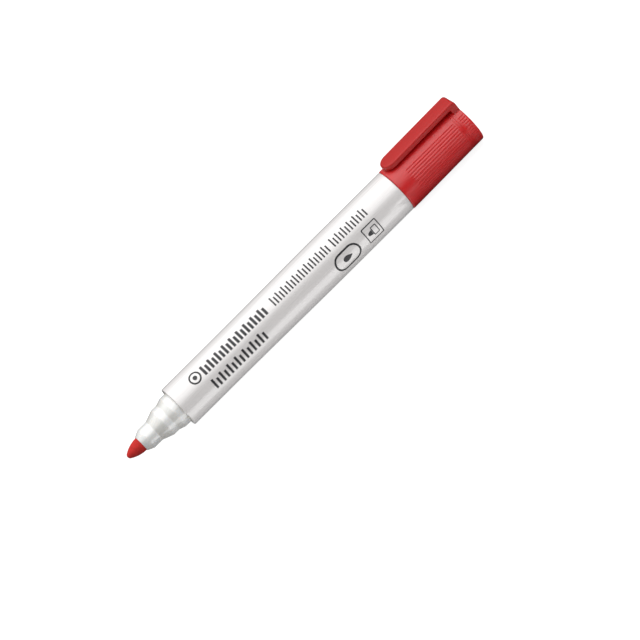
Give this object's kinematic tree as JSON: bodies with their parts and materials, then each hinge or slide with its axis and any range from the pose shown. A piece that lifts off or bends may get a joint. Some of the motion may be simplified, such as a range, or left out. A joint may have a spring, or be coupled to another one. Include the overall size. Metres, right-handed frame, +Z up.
{
  "type": "whiteboard marker",
  "caption": "Whiteboard marker with a felt bullet nib, stepped nose and white barrel. Its ribbed push-on cap with a pocket clip sits on the rear end, as in use.",
  "frame": {"origin": "under the middle of the pen's overall length, on the surface that the barrel lies on", "axes": "X along the pen, from the nib at -X to the cap's closed end at +X; +Z up, through the pocket clip"},
  "size_m": [0.149, 0.0158, 0.0184],
  "materials": {
    "nib_felt": "matte",
    "nose_plastic": "satin",
    "barrel_plastic": "satin",
    "reservoir_fibre": "matte",
    "sleeve_film": "gloss",
    "plug_plastic": "satin",
    "liner_plastic": "satin",
    "cap_plastic": "satin",
    "print_ink": "matte"
  },
  "bodies": {
    "barrel": {"barrel": "barrel_plastic", "nib_holder": "nose_plastic", "nib": "nib_felt", "ink_reservoir": "reservoir_fibre", "reservoir_sleeve": "sleeve_film", "end_plug": "plug_plastic"},
    "cap_liner": {"cap_liner": "liner_plastic"},
    "cap": {"cap_shell": "cap_plastic"},
    "clip": {"pocket_clip": "cap_plastic"}
  },
  "joints": [
    {"name": "cap_pull", "type": "slide", "parent": "barrel", "child": "cap_liner", "axis": [1, 0, 0], "range_m": [0, 0.035]},
    {"name": "cap_turn", "type": "hinge", "parent": "cap_liner", "child": "cap", "pos_m": [0.0433, 0, 0.00786], "axis": [1, 0, 0], "continuous": true},
    {"name": "clip_flex", "type": "hinge", "parent": "cap", "child": "clip", "pos_m": [0.0696, 0, 0.01746], "axis": [0, 1, 0], "range_deg": [0, 5], "stiffness_Nm_per_rad": 2.4}
  ]
}
